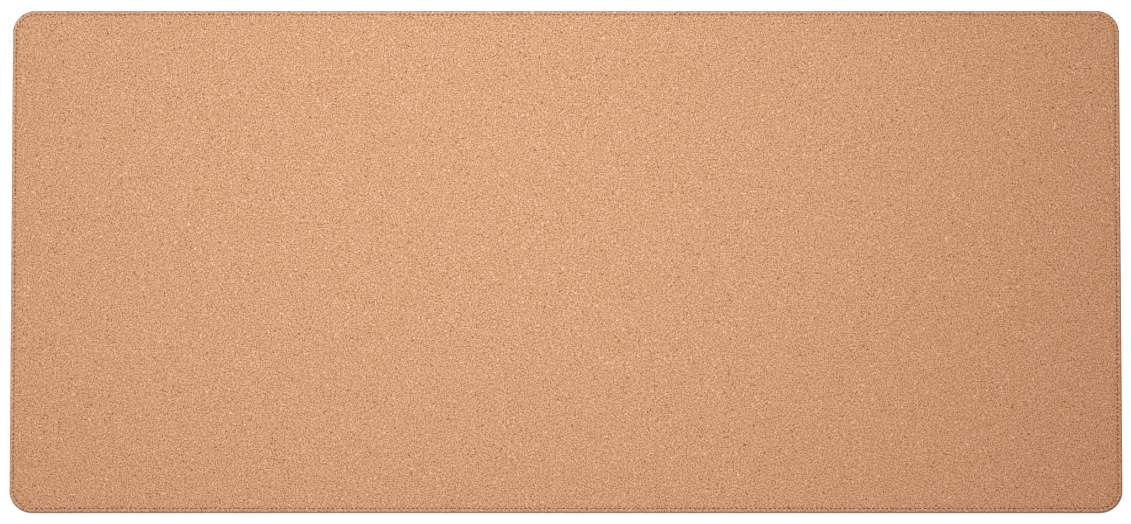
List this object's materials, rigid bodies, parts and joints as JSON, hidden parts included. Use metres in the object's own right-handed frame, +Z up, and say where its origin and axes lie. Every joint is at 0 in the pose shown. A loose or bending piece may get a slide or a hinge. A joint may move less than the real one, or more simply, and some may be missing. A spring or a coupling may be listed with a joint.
{
  "type": "mouse pad",
  "caption": "Desk-size mouse pad with a pressed cork face bonded to a grey synthetic leather back, rounded corners and a stitched edge.",
  "frame": {"origin": "middle of the underside, on the desk", "axes": "+X along the long side to the right, +Y to the back edge away from the user, +Z up through the cork face"},
  "size_m": [0.9, 0.43, 0.0022],
  "materials": {
    "cork": "pressed cork granules, matt, sealed",
    "adhesive": "cured adhesive film, satin",
    "backing_cloth": "knitted polyester cloth, matt",
    "synthetic_leather": "polyurethane coating with a fine pebble grain, satin",
    "needle_thread": "twisted polyester sewing thread",
    "bobbin_thread": "twisted polyester sewing thread"
  },
  "bodies": {
    "root": {"cork_sheet": "cork", "adhesive_film": "adhesive", "leather_cloth": "backing_cloth", "leather_skin": "synthetic_leather", "needle_thread": "needle_thread", "bobbin_thread": "bobbin_thread"}
  },
  "joints": []
}
